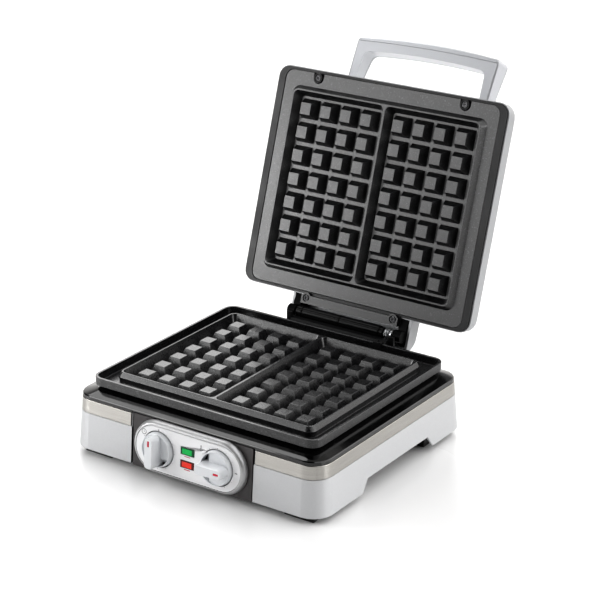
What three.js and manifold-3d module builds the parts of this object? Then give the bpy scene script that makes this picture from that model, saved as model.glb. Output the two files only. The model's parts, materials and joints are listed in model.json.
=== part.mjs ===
// Double Belgian waffle maker, lid open.
// Millimetres, +Z up, front towards -Y. The lid hangs on a pivot group, so its parts are drawn closed.
import * as THREE from 'three';
import { mergeVertices } from 'three/addons/utils/BufferGeometryUtils.js';
import Module from 'manifold-3d';

const wasm = await Module();
wasm.setup();

// ---- Driving dimensions ------------------------------------------------------

const PITCH = 23; // distance between waffle studs
const COLUMNS = 4; // studs across one waffle
const ROWS = 7; // studs along one waffle
const WAFFLE_X = 52.5; // centre of each waffle from the middle of the plate
const STUD_TOP = 11.5; // width of a stud at its top
const STUD_BASE = 20; // width of a stud at its foot
const STUD_HEIGHT = 10.3;
const CAVITY_FLOOR = 12; // last stud centre to the foot of the cavity wall
const CAVITY_MOUTH = 17; // last stud centre to the lip of the cavity
const RIDGE_WIDTH = 1.2; // thin lip around the cavities
const PLATE_BACK = 13; // stud tops to the back of the plate

const GRID_Z = 71.3; // tops of the lower studs above the table
const CLOSED_GAP = 2.2; // lower to upper stud tops when shut
const LID_Z = GRID_Z + CLOSED_GAP; // tops of the upper studs when shut
const LOWER_RIDGE = 2.6; // lip above the lower stud tops
const UPPER_RIDGE = -1; // lip below the upper stud tops
const HINGE_Y = 124.7;
const HINGE_Z = 74.3;
const LID_OPEN = 108; // degrees from shut

const TRAY_X = 122.8; // overflow rim of the lower plate, half width
const TRAY_Y = 106.5;
const TRAY_RADIUS = 11;
const TRAY_TOP = GRID_Z + 0.9;
const TRAY_FLOOR = GRID_Z - 7;

const FOOT_HEIGHT = 6.4; // table to the bottom edge of the housing
const TRIM_TOP = 53.6;
const TRIM_BOTTOM = 41.2;
const BODY_X = 134.2; // half width of the body at TRIM_TOP
const BODY_Y = 116.84; // half depth of the body at TRIM_TOP
const BODY_RADIUS = 18.4;
const FLARE = 0.0847; // outward growth of the front and rear per mm going down
const SIDE_FLARE = 0.057; // the same for the sides
const WALL = 2.4;
const TRIM_THICK = 1.2;
const GAP = 0.35; // clearance between neighbouring pieces
const PANEL_X = 66.7; // half width of the front opening

const DECK_X = 133.8;
const DECK_Y = 116.45;
const DECK_EDGE = 53.95; // underside of the deck's lip
const DECK_LIP = 56.6; // top of the lip
const DECK_TOP = 61.5;

const CONTROL_Z = 30.2; // height of the knob axes
const KNOB_X = 32.2;
const KNOB_RADIUS = 16.2;
const KNOB_WELL = 17.1; // radius of the holes that the knobs stand in
const FASCIA_FACE = 5.6; // control fascia in front of the housing
const BEZEL_FACE = 5.9;
const BEZEL_RAISE = 0.4; // the bezel's outside sits a little above its opening
const LENS_SIZE = [14.6, 6.8];
const LENS_Y = 6.1; // lens centres above and below the knob axes

const RIM_X = 127.5; // lid frame
const RIM_Y = 107.3;
const FLANGE_X = 119.5;
const FLANGE_Y = 104.6;
const FLANGE_Z = LID_Z + 6.5;
const COVER_X = 128.8;
const COVER_Y = 108.2;
const COVER_BOTTOM = LID_Z + 7.4;
const COVER_TOP = LID_Z + 68;
const FAR_SCREW = [82.1, -100.3];
const NEAR_SCREW = [49.5, 110.6];
const SCREW_WELL = 3.8; // radius of the recess around a screw head
const SHROUD_X = 67.6;
const HOOD_RISE = 8; // centre of the hood's round end above the hinge axis
const BARREL_X = 54.3;
const BARREL_RADIUS = 6.2;
const ARM_X = [56, 64.4]; // lid arms, from the inner to the outer face
const PIN_END = 62;
const PIN_RADIUS = 2.5;
const CORNER_STEPS = 5;
const ROUND_STEPS = 24;

// ---- Materials ---------------------------------------------------------------

const finish = (color, roughness, metalness) => ({ color, roughness, metalness });
const SILVER = finish(0xc9ccd0, 0.42, 0.1);
const STEEL = finish(0xbdb9b3, 0.32, 0.95);
const CHROME = finish(0xd6d6d6, 0.12, 1);
const BLACK_GLOSS = finish(0x0b0b0c, 0.12, 0);
const BLACK_MATT = finish(0x1b1b1c, 0.6, 0);
const ANTHRACITE = finish(0x3a3637, 0.45, 0);
const NON_STICK = finish(0x3c3e40, 0.5, 0.3);
const FASCIA_WHITE = finish(0xe3e4e6, 0.35, 0.1);
const RUBBER = finish(0x101010, 0.9, 0);
const ZINC = finish(0x8f9296, 0.45, 0.9);
const GREEN = finish(0x16c455, 0.2, 0);
const RED = finish(0xe33a2c, 0.2, 0);
const AMBER_GLASS = finish(0xd8c8a8, 0.15, 0);
const BEIGE = finish(0xcfc6b4, 0.6, 0);

// ---- Shape helpers -----------------------------------------------------------

/** Rounded rectangle, counter-clockwise, with the same number of points at every size. */
function roundedRect(halfX, halfY, radius, steps = CORNER_STEPS) {
  const points = [];
  for (const [sx, sy, start] of [[1, 1, 0], [-1, 1, 90], [-1, -1, 180], [1, -1, 270]]) {
    for (let i = 0; i <= steps; i++) {
      const angle = THREE.MathUtils.degToRad(start + (90 * i) / steps);
      const x = sx * (halfX - radius) + radius * Math.cos(angle);
      const y = sy * (halfY - radius) + radius * Math.sin(angle);
      points.push(new THREE.Vector2(x, y));
    }
  }
  return points;
}

/** Closed skin through level outlines that all have the same number of points. */
function loft(levels) {
  const position = [];
  const index = [];
  const count = levels[0].outline.length;
  for (const { z, outline } of levels) {
    for (const point of outline) position.push(point.x, point.y, z);
  }
  for (let level = 0; level + 1 < levels.length; level++) {
    for (let i = 0; i < count; i++) {
      const a = level * count + i;
      const b = level * count + ((i + 1) % count);
      index.push(a, b, b + count, a, b + count, a + count);
    }
  }
  const last = levels.length - 1;
  for (const [a, b, c] of THREE.ShapeUtils.triangulateShape(levels[0].outline, [])) index.push(c, b, a);
  for (const [a, b, c] of THREE.ShapeUtils.triangulateShape(levels[last].outline, [])) {
    index.push(last * count + a, last * count + b, last * count + c);
  }
  const geometry = new THREE.BufferGeometry();
  geometry.setAttribute('position', new THREE.Float32BufferAttribute(position, 3));
  geometry.setIndex(index);
  return geometry;
}

/** Loft of rounded rectangles, each level given as [z, halfX, halfY, radius]. */
function pad(levels, steps = CORNER_STEPS) {
  return solid(loft(levels.map(([z, x, y, r]) => ({ z, outline: roundedRect(x, y, r, steps) }))));
}

/** Solid for joining and cutting, from any closed geometry. */
function solid(geometry) {
  const bare = geometry.clone();
  bare.deleteAttribute('normal');
  bare.deleteAttribute('uv');
  const merged = mergeVertices(bare, 1e-4);
  return new wasm.Manifold(new wasm.Mesh({
    numProp: 3,
    vertProperties: new Float32Array(merged.attributes.position.array),
    triVerts: new Uint32Array(merged.index.array),
  }));
}

/** Flat-shaded geometry of a finished solid. */
function skin(body) {
  const mesh = body.getMesh();
  const geometry = new THREE.BufferGeometry();
  geometry.setAttribute('position', new THREE.Float32BufferAttribute(mesh.vertProperties, 3));
  geometry.setIndex(new THREE.Uint32BufferAttribute(mesh.triVerts, 1));
  const flat = geometry.toNonIndexed();
  flat.computeVertexNormals();
  return flat;
}

/** Box between two corners. */
function box(x0, x1, y0, y1, z0, z1) {
  const geometry = new THREE.BoxGeometry(x1 - x0, y1 - y0, z1 - z0);
  return solid(geometry.translate((x0 + x1) / 2, (y0 + y1) / 2, (z0 + z1) / 2));
}

/** Upright round bar, from z0 to z1, with an optional different top radius. */
function post(x, y, z0, z1, radius, steps = ROUND_STEPS, topRadius = radius) {
  const geometry = new THREE.CylinderGeometry(topRadius, radius, z1 - z0, steps);
  return solid(geometry.rotateX(Math.PI / 2).translate(x, y, (z0 + z1) / 2));
}

/** Round bar along X, from x0 to x1. */
function rod(x0, x1, y, z, radius, steps = ROUND_STEPS) {
  const geometry = new THREE.CylinderGeometry(radius, radius, x1 - x0, steps);
  return solid(geometry.rotateZ(-Math.PI / 2).translate((x0 + x1) / 2, y, z));
}

/** Outline in the Y-Z plane, extruded along X from x0 to x1. */
function slab(points, x0, x1) {
  const shape = new THREE.Shape(points.map(([y, z]) => new THREE.Vector2(y, z)));
  const geometry = new THREE.ExtrudeGeometry(shape, { depth: x1 - x0, bevelEnabled: false });
  geometry.applyMatrix4(new THREE.Matrix4().makeBasis(
    new THREE.Vector3(0, 1, 0), new THREE.Vector3(0, 0, 1), new THREE.Vector3(1, 0, 0)));
  return solid(geometry.translate(x0, 0, 0));
}

/** Round bar swept along a curve. */
function tube(curve, radius, steps, sides = 8) {
  const section = new THREE.Shape();
  section.absarc(0, 0, radius, 0, Math.PI * 2, false);
  const options = { extrudePath: curve, steps, curveSegments: sides, bevelEnabled: false };
  return solid(new THREE.ExtrudeGeometry(section, options));
}

/** Named mesh of one solid piece. */
function piece(parent, name, body, look) {
  const mesh = new THREE.Mesh(skin(body), new THREE.MeshStandardMaterial(look));
  mesh.name = name;
  parent.add(mesh);
  return mesh;
}

/** Outline level of the flared body at height z, pulled in by inset. */
function bodyLevel(z, inset) {
  const grow = FLARE * (TRIM_TOP - z);
  const side = SIDE_FLARE * (TRIM_TOP - z);
  return [z, BODY_X + side - inset, BODY_Y + grow - inset, BODY_RADIUS + grow * 0.3 - inset];
}

// ---- Waffle plates -----------------------------------------------------------

const GRID_X = WAFFLE_X + ((COLUMNS - 1) / 2) * PITCH;
const GRID_Y = ((ROWS - 1) / 2) * PITCH;
const RIDGE_X = GRID_X + CAVITY_MOUTH + RIDGE_WIDTH;
const RIDGE_Y = GRID_Y + CAVITY_MOUTH + RIDGE_WIDTH;

/** Cuts the two cavities into a plate and leaves the studs. Stud tops lie at z = 0, facing up. */
function waffleFace(plate, ridge) {
  let face = plate;
  const cavityX = ((COLUMNS - 1) / 2) * PITCH;
  const mouth = ridge + 0.5;
  for (const side of [-1, 1]) {
    const cavity = loft([
      { z: -STUD_HEIGHT, outline: roundedRect(cavityX + CAVITY_FLOOR, GRID_Y + CAVITY_FLOOR, 3) },
      { z: mouth, outline: roundedRect(cavityX + CAVITY_MOUTH, GRID_Y + CAVITY_MOUTH, 5) },
    ]);
    face = face.subtract(solid(cavity.translate(side * WAFFLE_X, 0, 0)));
  }
  const half = Math.SQRT1_2;
  for (const side of [-1, 1]) {
    for (let column = 0; column < COLUMNS; column++) {
      for (let row = 0; row < ROWS; row++) {
        const height = STUD_HEIGHT + 1;
        const stud = new THREE.CylinderGeometry(STUD_TOP * half, STUD_BASE * half, height, 4);
        stud.rotateY(Math.PI / 4).rotateX(Math.PI / 2);
        const x = side * WAFFLE_X + (column - (COLUMNS - 1) / 2) * PITCH;
        const y = (row - (ROWS - 1) / 2) * PITCH;
        face = face.add(solid(stud.translate(x, y, -height / 2)));
      }
    }
  }
  return face;
}

function lowerPlate() {
  const wall = 2.5;
  const under = TRAY_FLOOR - 2.3 - GRID_Z;
  const pan = pad([
    [under, TRAY_X - 4.8, TRAY_Y - 4.8, TRAY_RADIUS - 4],
    [under + 2.6, TRAY_X, TRAY_Y, TRAY_RADIUS],
    [TRAY_TOP - GRID_Z, TRAY_X, TRAY_Y, TRAY_RADIUS],
  ]).subtract(pad([
    [TRAY_FLOOR - GRID_Z, TRAY_X - wall, TRAY_Y - wall, TRAY_RADIUS - wall],
    [TRAY_TOP - GRID_Z + 1, TRAY_X - wall, TRAY_Y - wall, TRAY_RADIUS - wall],
  ]));
  const block = pad([
    [-PLATE_BACK, RIDGE_X + 1, RIDGE_Y + 1, 7],
    [-1.6, RIDGE_X + 2.8, RIDGE_Y + 2.8, 8],
    [LOWER_RIDGE, RIDGE_X, RIDGE_Y, 5.8],
  ]);
  const face = waffleFace(pan.add(block), LOWER_RIDGE);
  return solid(skin(face).translate(0, 0, GRID_Z));
}

function upperPlate() {
  const flange = -(FLANGE_Z - LID_Z);
  const sheet = pad([
    [flange - 2.3, FLANGE_X, FLANGE_Y, 8.6],
    [flange, FLANGE_X, FLANGE_Y, 8.6],
  ]);
  const block = pad([
    [-PLATE_BACK, RIDGE_X + 2, RIDGE_Y + 2, 7],
    [flange, RIDGE_X + 3.4, RIDGE_Y + 3.4, 8],
    [UPPER_RIDGE, RIDGE_X, RIDGE_Y, 5.8],
  ]);
  let face = waffleFace(sheet.add(block), UPPER_RIDGE);
  face = solid(skin(face).rotateX(Math.PI).translate(0, 0, LID_Z));
  for (const side of [-1, 1]) {
    const x = side * FAR_SCREW[0];
    face = face.subtract(post(x, FAR_SCREW[1], FLANGE_Z - 1, FLANGE_Z + 4, 5.75));
    face = face.subtract(box(x - 5.75, x + 5.75, -FLANGE_Y - 2, FAR_SCREW[1], FLANGE_Z - 1, FLANGE_Z + 4));
  }
  return face;
}

/** Sheathed heating element: one loop under each waffle, both ends side by side. */
function heater(z, end) {
  const radius = 3.3;
  const outer = 84;
  const inner = 24;
  const reach = 62;
  const points = [
    [-9, -88, end], [-9, -80, z], [-inner, -reach, z], [-outer + 12, -reach, z], [-outer, -reach + 14, z],
    [-outer, reach - 14, z], [-outer + 12, reach, z], [-inner - 12, reach, z], [-inner, reach - 14, z],
    [-inner, 10, z], [0, -16, z], [inner, 10, z], [inner, reach - 14, z], [inner + 12, reach, z],
    [outer - 12, reach, z], [outer, reach - 14, z], [outer, -reach + 14, z], [outer - 12, -reach, z],
    [inner, -reach, z], [9, -80, z], [9, -88, end],
  ];
  const path = new THREE.CatmullRomCurve3(points.map((p) => new THREE.Vector3(...p)), false, 'centripetal');
  return tube(path, radius, 60, 4);
}

// ---- Base --------------------------------------------------------------------

/** Side notch outline between the front and rear legs of the housing skirt. */
const SKIRT_NOTCH = [[-56, 3.6], [-45.3, 17.7], [54.3, 17.7], [64.9, 3.6]];
const BOSS_X = 129.2; // screw bosses inside the housing
const BOSSES = [[-1, -62], [1, -62], [-1, 59], [1, 59]];

function housing() {
  const neck = TRIM_THICK + GAP;
  let shell = pad([bodyLevel(FOOT_HEIGHT, 0), bodyLevel(TRIM_BOTTOM - GAP, 0)])
    .add(pad([bodyLevel(TRIM_BOTTOM - 4, neck), bodyLevel(TRIM_TOP - GAP, neck)]));
  shell = shell.subtract(pad([
    bodyLevel(FOOT_HEIGHT - 1, WALL),
    bodyLevel(TRIM_BOTTOM - 6, WALL),
    bodyLevel(TRIM_BOTTOM - 4, neck + 2),
    bodyLevel(TRIM_TOP + 1, neck + 2),
  ]));
  for (const [side, y] of BOSSES) {
    shell = shell.add(post(side * BOSS_X, y, 21.4, 36, 4.8, 12));
    shell = shell.subtract(post(side * BOSS_X, y, 20, 31, 1.9, 12));
  }
  shell = shell.subtract(box(-PANEL_X, PANEL_X, -150, -100, 0, 60));
  shell = shell.subtract(slab(SKIRT_NOTCH, -150, 150));
  const hole = new THREE.CylinderGeometry(GLAND.neck + 0.3, GLAND.neck + 0.3, 20, 20);
  return shell.subtract(solid(hole.translate(GLAND.x, 118, GLAND.z)));
}

function steelTrim() {
  const band = pad([bodyLevel(TRIM_BOTTOM, 0), bodyLevel(TRIM_TOP, 0)])
    .subtract(pad([bodyLevel(TRIM_BOTTOM - 1, TRIM_THICK), bodyLevel(TRIM_TOP + 1, TRIM_THICK)]));
  return band.subtract(box(-PANEL_X - 1.2, PANEL_X + 1.2, -150, -100, 30, 60));
}

function deck() {
  const slope = 15.3;
  const crown = pad([
    [DECK_EDGE, DECK_X, DECK_Y, 18],
    [DECK_LIP, DECK_X, DECK_Y, 18],
    [DECK_LIP + 0.8, DECK_X - 0.9, DECK_Y - 0.9, 17],
    [DECK_TOP - 0.6, DECK_X - slope + 2.6, DECK_Y - slope + 4.6, 10],
    [DECK_TOP, DECK_X - slope, DECK_Y - slope + 2, 8],
  ]);
  const skirt = { x: 130.2, y: 112.85, radius: 14.4, wall: 1.8, bottom: 50.4 };
  const hang = pad([
    [skirt.bottom, skirt.x, skirt.y, skirt.radius],
    [DECK_EDGE + 1, skirt.x, skirt.y, skirt.radius],
  ]);
  const inside = [skirt.x - skirt.wall, skirt.y - skirt.wall, skirt.radius - skirt.wall];
  const under = pad([
    [skirt.bottom - 1, ...inside],
    [DECK_EDGE + 1.2, ...inside],
    [DECK_TOP - 2.4, DECK_X - slope + 1.2, DECK_Y - slope + 3.2, 8],
  ]);
  return crown.add(hang)
    .subtract(under)
    .subtract(pad([[skirt.bottom - 1, 111.5, 93.5, 9], [DECK_TOP + 2, 111.5, 93.5, 9]]))
    .subtract(box(-PANEL_X - 0.6, PANEL_X + 0.6, -150, -skirt.y + 5, skirt.bottom - 1, DECK_EDGE + 1.45));
}

/** Black floor pan: high wings over the side notches, low middle, and four foot posts. */
const FEET = [[-1, -114], [1, -114], [-1, 65], [1, 65]];
const FOOT_X = [94.5, 126];
const FOOT_LENGTH = 36;

function bottomCover() {
  const wing = [18.5, 20.9];
  const low = [6.6, 9];
  const well = { x: 100, front: -116, back: 100, wall: 2.4 };
  const { x, front, back, wall } = well;
  let cover = pad([[wing[0], 133, 116, 16], [wing[1], 133, 116, 16]])
    .subtract(box(-x, x, -130, back, 10, 30))
    .add(box(-x, x, front, back, low[0], low[1]))
    .add(box(-x, -x + wall, front, back, low[0], wing[1]))
    .add(box(x - wall, x, front, back, low[0], wing[1]))
    .add(box(-x, x, back - wall, back, low[0], wing[1]));
  for (const [side, y] of FEET) {
    const [x0, x1] = side < 0 ? [-FOOT_X[1], -FOOT_X[0]] : FOOT_X;
    cover = cover.add(box(x0, x1, y, y + FOOT_LENGTH, 3.6, wing[0] + 0.5));
  }
  for (const [side, y] of BOSSES) cover = cover.subtract(post(side * BOSS_X, y, 15, 25, 1.9, 12));
  for (let slot = -4; slot <= 4; slot++) {
    cover = cover.subtract(box(slot * 14 - 2, slot * 14 + 2, -40, 40, 5, 12));
  }
  return cover;
}

function bottomScrew(side, y) {
  return post(side * BOSS_X, y, 16.2, 18.15, 3.4, 12).add(post(side * BOSS_X, y, 17, 29, 1.6, 12));
}

const GLAND = { x: -84, z: 30, bore: 3.9, neck: 7 }; // cord gland in the rear wall

function cordGland() {
  const profile = [
    [GLAND.bore, 112.4], [9, 112.4], [9, 114.4], [GLAND.neck, 114.4], [GLAND.neck, 120.1], [9.5, 120.1],
    [9.5, 121.4], [5.6, 128], [GLAND.bore, 128], [GLAND.bore, 112.4],
  ];
  const ring = new THREE.LatheGeometry(profile.map(([r, y]) => new THREE.Vector2(r, y)), 20);
  return solid(ring.translate(GLAND.x, 0, GLAND.z));
}

function lowerReflector() {
  const outer = pad([[44, 96, 76, 10], [55.2, 104, 84, 12]]);
  return outer.subtract(pad([[45, 95, 75, 9], [56.5, 104, 84, 12]]))
    .subtract(box(-18, 18, -90, -66, 40, 60));
}

/** Base half of the hinge: rear plate with a saddle under the barrel, and an ear in front of each arm. */
function hingeBase() {
  const profile = [
    [107.4, 61.4], [113.6, 59.1], [116.1, 58], [117.3, 57], [117.4, 54.2], [119.4, 31], [123, 31],
    [122.2, 64], [123, 72], [112, 72], [107.4, 69],
  ];
  let base = slab(profile, -BARREL_X, BARREL_X)
    .subtract(rod(-BARREL_X - 1, BARREL_X + 1, HINGE_Y, HINGE_Z, BARREL_RADIUS + GAP));
  for (const side of [-1, 1]) {
    const [x0, x1] = side < 0 ? [-61, -BARREL_X + 1] : [BARREL_X - 1, 61];
    const foot = [[107.4, 61.4], [113.6, 59.1], [116.5, 58.6], [116.5, 66], [107.4, 69]];
    const ear = side < 0 ? [-61, -55.2] : [55.2, 61];
    base = base.add(slab(foot, x0, x1)).add(box(...ear, 113.9, 116.5, 62, HINGE_Z + 2.5));
  }
  return base;
}

function barrel(x0, x1, radius = BARREL_RADIUS) {
  return rod(x0, x1, HINGE_Y, HINGE_Z, radius)
    .subtract(rod(x0 - 1, x1 + 1, HINGE_Y, HINGE_Z, PIN_RADIUS + GAP, 16));
}

class SpringPath extends THREE.Curve {
  getPoint(t) {
    const turns = 3;
    const radius = 4.6;
    const angle = t * turns * Math.PI * 2 - Math.PI / 2;
    const x = 45.8 + t * 5;
    return new THREE.Vector3(x, HINGE_Y + radius * Math.cos(angle), HINGE_Z + radius * Math.sin(angle));
  }
}

// ---- Control panel, drawn in its own frame: x right, y up the panel, z out ----

const PANEL_TILT = Math.atan(FLARE);
const KNOB_AXES = { timer: -KNOB_X, thermostat: KNOB_X };
const THERMOSTAT_TURN = THREE.MathUtils.degToRad(-88); // dial position, from upright

function frontPanel() {
  let plate = box(-PANEL_X + 1.5, PANEL_X - 1.5, -25, 24.3, -3.1, -0.6);
  for (const x of Object.values(KNOB_AXES)) plate = plate.subtract(post(x, 0, -5, 5, 3.6, 16));
  for (const side of [-1, 1]) plate = plate.subtract(post(0, side * LENS_Y, -5, 5, 4.4, 16));
  return plate;
}

/** Domed ring around the fascia; levels are [z, half width, half height]. */
function controlBezel() {
  const levels = [[-0.3, 61.3, 24.6], [1.2, 61.2, 24.5], [3.2, 60.7, 23.9], [4.5, 60, 23.2],
    [5.4, 59.2, 22.4], [BEZEL_FACE, 58.4, 21.7]];
  const outside = loft(levels.map(([z, x, y]) => ({ z, outline: roundedRect(x, y, y - 0.1, 10) })));
  return solid(outside.translate(0, BEZEL_RAISE, 0))
    .subtract(pad([[-1, 57.4, 20.9, 20.8], [BEZEL_FACE + 1, 57.4, 20.9, 20.8]], 10));
}

function controlFascia() {
  let plate = pad([[3.2, 57, 20.5, 20.4], [FASCIA_FACE, 57, 20.5, 20.4]], 10);
  for (const x of Object.values(KNOB_AXES)) plate = plate.subtract(post(x, 0, 0, 8, KNOB_WELL, 48));
  const [w, h] = LENS_SIZE.map((size) => size / 2 + 0.3);
  for (const side of [-1, 1]) plate = plate.subtract(box(-w, w, side * LENS_Y - h, side * LENS_Y + h, 0, 8));
  return plate;
}

function lens(side) {
  const [w, h] = LENS_SIZE.map((size) => size / 2);
  return box(-w, w, side * LENS_Y - h, side * LENS_Y + h, 2, FASCIA_FACE + 0.5);
}

function lamp(side) {
  return post(0, side * LENS_Y, -16, 1.2, 3.2, 12);
}

const KNOB_BASE = FASCIA_FACE - 1.4;
const KNOB_DISC = FASCIA_FACE + 4.6; // face of the knob's disc
const KNOB_TOP = FASCIA_FACE + 14.8; // top of the bar grip

/** Round knob: a disc with a bar grip across it, and a hollow on each side that deepens away from the mark. */
function knob(turn) {
  let body = post(0, 0, KNOB_BASE, FASCIA_FACE + 0.6, KNOB_RADIUS, 40)
    .add(post(0, 0, FASCIA_FACE + 0.5, KNOB_DISC, KNOB_RADIUS, 40, KNOB_RADIUS - 0.8));
  const lip = KNOB_RADIUS - 1.7;
  const dip = [[-20, KNOB_BASE - 8], [-6, KNOB_DISC - 1.7], [20, KNOB_DISC - 0.6], [20, 30], [-20, 30]];
  const hollow = slab(dip, -20, 20).intersect(post(0, 0, 0, 30, lip, 40));
  const bar = pad([
    [KNOB_BASE + 1, 5.2, KNOB_RADIUS - 0.5, 4.8], [KNOB_DISC + 0.5, 5, KNOB_RADIUS - 0.9, 4.6],
    [KNOB_TOP - 1, 4.5, KNOB_RADIUS - 1.7, 3.6], [KNOB_TOP, 3.9, KNOB_RADIUS - 2.5, 2.8],
  ], 4);
  body = body.subtract(hollow).add(bar)
    .subtract(post(0, 0, KNOB_BASE - 1, FASCIA_FACE + 6, 3.3, 16))
    .subtract(markRecess());
  return solid(skin(body).rotateZ(turn));
}

/** Recess in the knob's bar, near one end, and the coloured mark that sits in it. */
const MARK = { y: 6.7, width: 1.5, length: 5, face: KNOB_TOP };

function markRecess() {
  const { y, width, length, face } = MARK;
  return box(-width / 2 - 0.3, width / 2 + 0.3, y - 0.3, y + length + 0.3, face - 0.9, face + 2);
}

function knobMark(turn) {
  const { y, width, length, face } = MARK;
  return solid(skin(box(-width / 2, width / 2, y, y + length, face - 0.6, face + 0.15)).rotateZ(turn));
}

function shaft() {
  return post(0, 0, -7.5, FASCIA_FACE + 5.7, 3, 16);
}

/** Switch body behind the panel, with a blind bore for its shaft. */
function switchUnit(round) {
  const body = round
    ? post(0, 0, -27, -3.5, 16.5, 20)
    : box(-15, 15, -13, 13, -22, -3.5).add(post(0, 0, -23, -21, 9, 16));
  return body.subtract(post(0, 0, -8.2, -3, 3.4, 16));
}

// ---- Lid, drawn shut ---------------------------------------------------------

const COVER_LEVELS = [
  [COVER_BOTTOM, COVER_X, COVER_Y, 12],
  [LID_Z + 20, COVER_X - 0.4, COVER_Y - 0.6, 13],
  [LID_Z + 32, COVER_X - 6.5, COVER_Y - 2.4, 16],
  [LID_Z + 46, COVER_X - 16.5, COVER_Y - 5, 20],
  [LID_Z + 58, COVER_X - 27, COVER_Y - 9.5, 24],
  [LID_Z + 65, COVER_X - 36, COVER_Y - 15, 26],
  [COVER_TOP, COVER_X - 46, COVER_Y - 23, 26],
];

/** Dome of the lid cover, grown or shrunk by the same amount on every side. */
function dome(grow) {
  return pad(COVER_LEVELS.map(([z, x, y, r]) => [z + (z > COVER_BOTTOM ? grow : -grow), x + grow, y + grow, r]));
}

/** Hood over the hinge: an outline in Y-Z with a round rear end just behind the hinge axis. */
function hood(radius, foot, front) {
  const y = HINGE_Y - 0.5;
  const z = HINGE_Z + HOOD_RISE;
  const points = [[front, HINGE_Z + foot]];
  for (let angle = foot > 4 ? -8 : -30; angle <= 90; angle += 14) {
    const a = THREE.MathUtils.degToRad(angle);
    points.push([y + radius * Math.cos(a), z + radius * Math.sin(a)]);
  }
  points.push([y, z + radius], [front, z + radius + 1]);
  return points;
}

function lidCover() {
  const skinThick = 2.2;
  const radius = 13.3;
  const pocket = pad([[COVER_TOP - 1, 72, 62, 10], [COVER_TOP + 2, 72, 62, 10]]);
  return dome(0)
    .add(slab(hood(radius, 6.4, COVER_Y - 1.6), -SHROUD_X, SHROUD_X))
    .subtract(dome(-skinThick))
    .subtract(pad([[COVER_BOTTOM - 1, COVER_X - skinThick, COVER_Y - skinThick, 10],
      [COVER_BOTTOM + 4, COVER_X - skinThick, COVER_Y - skinThick, 10]]))
    .subtract(slab(hood(radius - 2.4, 2, COVER_Y + 0.1), -SHROUD_X + 2.5, SHROUD_X - 2.5))
    .subtract(pocket);
}

function lidRim() {
  const lip = FLANGE_Z - 0.6;
  const seat = FLANGE_Z + 2.7;
  const tab = [FLANGE_Z - 1.1, COVER_BOTTOM - 0.35];
  let rim = pad([[lip, RIM_X, RIM_Y, 10.6], [COVER_BOTTOM - 0.4, RIM_X, RIM_Y, 10.6]])
    .add(pad([[COVER_BOTTOM - 1, RIM_X - 1.4, RIM_Y - 1.8, 9.5], [seat + 1.9, RIM_X - 1.4, RIM_Y - 1.8, 9.5]]))
    .subtract(pad([[lip - 1, FLANGE_X + 0.5, FLANGE_Y + 0.45, 9], [seat, FLANGE_X + 0.5, FLANGE_Y + 0.45, 9]]))
    .subtract(pad([[lip - 1, 113, 96, 9], [seat + 4, 113, 96, 9]]))
    .add(box(-55.4, 55.4, RIM_Y - 1.5, 116, tab[0], tab[1]));
  for (const side of [-1, 1]) {
    const far = side * FAR_SCREW[0];
    rim = rim.add(post(far, FAR_SCREW[1], FLANGE_Z - 1.4, seat + 1, 4.6))
      .subtract(post(far, FAR_SCREW[1], FLANGE_Z - 2, FLANGE_Z + 0.1, SCREW_WELL))
      .subtract(post(far, FAR_SCREW[1], FLANGE_Z - 2, seat + 4, 2, 12))
      .subtract(post(side * NEAR_SCREW[0], NEAR_SCREW[1], tab[0] - 1, tab[1] + 1, 2, 12));
  }
  return rim;
}

function hingeStrip() {
  const face = LID_Z + 1.9;
  const back = FLANGE_Z - 1.45;
  let strip = box(-55, 55, 107.9, 116.2, face, back);
  for (const side of [-1, 1]) {
    const x = side * NEAR_SCREW[0];
    strip = strip.add(post(x, NEAR_SCREW[1], face, back, 5.2))
      .subtract(post(x, NEAR_SCREW[1], face - 1, face + 1.5, SCREW_WELL))
      .subtract(post(x, NEAR_SCREW[1], face - 1, back + 1, 2, 12));
  }
  return strip;
}

/** Cap screw pointing up, its head's face at z, with a hexagon socket. */
function capScrew([x, y], z, length) {
  return post(x, y, z, z + 1.2, 2.8, 20)
    .add(post(x, y, z + 1, z + length, 1.7, 12))
    .subtract(post(x, y, z - 1, z + 0.8, 1.5, 6));
}

function hingeArm(side) {
  const y = (offset) => HINGE_Y + offset;
  const z = (offset) => HINGE_Z + offset;
  const profile = [[y(-16.4), z(7.2)], [y(-8), z(4)], [y(7), z(5)], [y(9), z(9)], [y(7.5), z(13.5)],
    [y(3.5), z(17.2)], [y(-4), z(18)], [y(-14), z(18)], [y(-14), z(9.4)], [y(-16.4), z(9.4)]];
  const [x0, x1] = side < 0 ? [-ARM_X[1], -ARM_X[0]] : ARM_X;
  const bore = side < 0 ? [-PIN_END - GAP, x1 + 1] : [x0 - 1, PIN_END + GAP];
  return slab(profile, x0, x1)
    .add(rod(x0, x1, HINGE_Y, HINGE_Z, BARREL_RADIUS - 0.4))
    .subtract(rod(...bore, HINGE_Y, HINGE_Z, PIN_RADIUS + GAP, 16));
}

function upperReflector() {
  const z = LID_Z + PLATE_BACK;
  const outer = pad([[z + 1.6, 104, 84, 12], [z + 14, 96, 76, 10]]);
  return outer.subtract(pad([[z + 0.6, 103, 83, 11], [z + 13, 95, 75, 9]]))
    .subtract(box(-18, 18, -90, -66, z, z + 20));
}

// ---- Handle, drawn in its own frame: x right, y outward, z away from the plates ----

const HANDLE_TILT = THREE.MathUtils.degToRad(11.3);
const HANDLE_THICK = 14; // thickness before the loop is drawn out towards its end
const HANDLE_BOW = 3.6;
const HANDLE_TOP = 39.6;
const HANDLE_SPLIT = 33.6; // parting line between the loop and its outer strip
const HANDLE_ROOT = 1.12; // thickness factor at the handle's origin, and its growth per mm outward
const HANDLE_GROWTH = 0.0125;
const BACK_SHARE = 0.86; // share of the thickness that lies in front of the rear shell

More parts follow.
